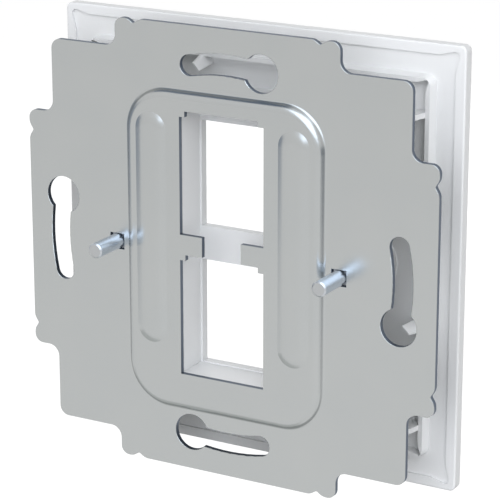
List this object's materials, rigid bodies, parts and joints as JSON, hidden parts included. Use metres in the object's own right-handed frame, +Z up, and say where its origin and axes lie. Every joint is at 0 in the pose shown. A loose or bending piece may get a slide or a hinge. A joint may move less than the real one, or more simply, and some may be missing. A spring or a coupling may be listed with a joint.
{
  "type": "wall plate",
  "caption": "Square wall plate for data modules: a pressed steel support plate with keyholes, a white moulded cover with module ports, and steel pins that join them.",
  "frame": {"origin": "centre of the support plate's screw circle, on the face that lies against the wall", "axes": "+X right and +Z up for someone in the room, +Y into the wall, -Y towards the room"},
  "size_m": [0.071, 0.019, 0.071],
  "materials": {
    "galvanised_steel": "satin zinc coated sheet, uniform grey",
    "white_moulding": "satin white moulded ABS",
    "bright_steel": "smooth bright zinc plated steel"
  },
  "bodies": {
    "root": {"support_plate": "galvanised_steel", "cover": "white_moulding", "left_pin": "bright_steel", "right_pin": "bright_steel"}
  },
  "joints": []
}
